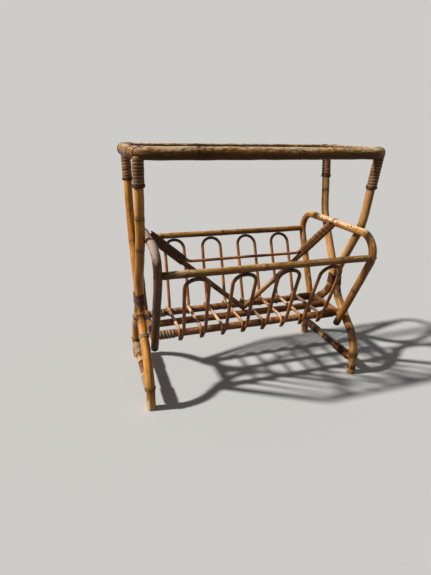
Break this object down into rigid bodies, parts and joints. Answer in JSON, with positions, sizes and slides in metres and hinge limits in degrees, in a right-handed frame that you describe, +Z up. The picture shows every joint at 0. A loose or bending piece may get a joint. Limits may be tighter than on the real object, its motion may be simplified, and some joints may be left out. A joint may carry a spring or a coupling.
{
  "type": "magazine rack",
  "caption": "Bent-rattan magazine rack: crossed bowed legs carry an open top ring and hold a flared cane basket with a V-shaped divider.",
  "frame": {"origin": "on the floor, under the middle of the rack", "axes": "+X along the rack's length, to the right as seen from the front; +Y from front to back; +Z up"},
  "size_m": [0.5316, 0.3102, 0.5241],
  "materials": {
    "ring_rattan": "satin",
    "leg_rattan": "gloss",
    "hoop_rattan": "satin",
    "rail_rattan": "satin",
    "bent_cane": "satin",
    "cane_strand": "matte"
  },
  "bodies": {
    "root": {"top_ring": "ring_rattan", "leg_front_left": "leg_rattan", "leg_front_right": "leg_rattan", "leg_back_left": "leg_rattan", "leg_back_right": "leg_rattan", "stretcher_left": "rail_rattan", "stretcher_right": "rail_rattan", "end_hoop_left": "hoop_rattan", "end_hoop_right": "hoop_rattan", "top_rail_front": "hoop_rattan", "top_rail_back": "hoop_rattan", "floor_rail_front": "rail_rattan", "floor_rail_middle": "rail_rattan", "floor_rail_back": "rail_rattan", "cross_rail_left": "rail_rattan", "cross_rail_right": "rail_rattan", "arch_front_1": "bent_cane", "arch_front_2": "bent_cane", "arch_front_3": "bent_cane", "arch_front_4": "bent_cane", "arch_back_1": "bent_cane", "arch_back_2": "bent_cane", "arch_back_3": "bent_cane", "arch_back_4": "bent_cane", "floor_bar_1": "bent_cane", "floor_bar_2": "bent_cane", "floor_bar_3": "bent_cane", "floor_bar_4": "bent_cane", "floor_bar_5": "bent_cane", "floor_bar_6": "bent_cane", "floor_bar_7": "bent_cane", "floor_bar_8": "bent_cane", "divider_strut_left": "rail_rattan", "divider_strut_right": "rail_rattan", "divider_rod": "bent_cane", "post_wrap_front_left": "cane_strand", "post_wrap_front_right": "cane_strand", "post_wrap_back_left": "cane_strand", "post_wrap_back_right": "cane_strand", "ring_strap_front_left": "cane_strand", "ring_strap_front_right": "cane_strand", "ring_strap_back_left": "cane_strand", "ring_strap_back_right": "cane_strand", "waist_binding_left": "cane_strand", "waist_binding_right": "cane_strand", "corner_binding_front_left": "cane_strand", "corner_binding_front_right": "cane_strand", "corner_binding_back_left": "cane_strand", "corner_binding_back_right": "cane_strand", "stretcher_wrap_left": "cane_strand", "stretcher_wrap_right": "cane_strand", "rail_wrap_front": "cane_strand", "rail_wrap_back": "cane_strand", "strut_wrap_left": "cane_strand", "strut_wrap_right": "cane_strand", "hoop_tie_left": "cane_strand", "hoop_tie_right": "cane_strand"}
  },
  "joints": []
}
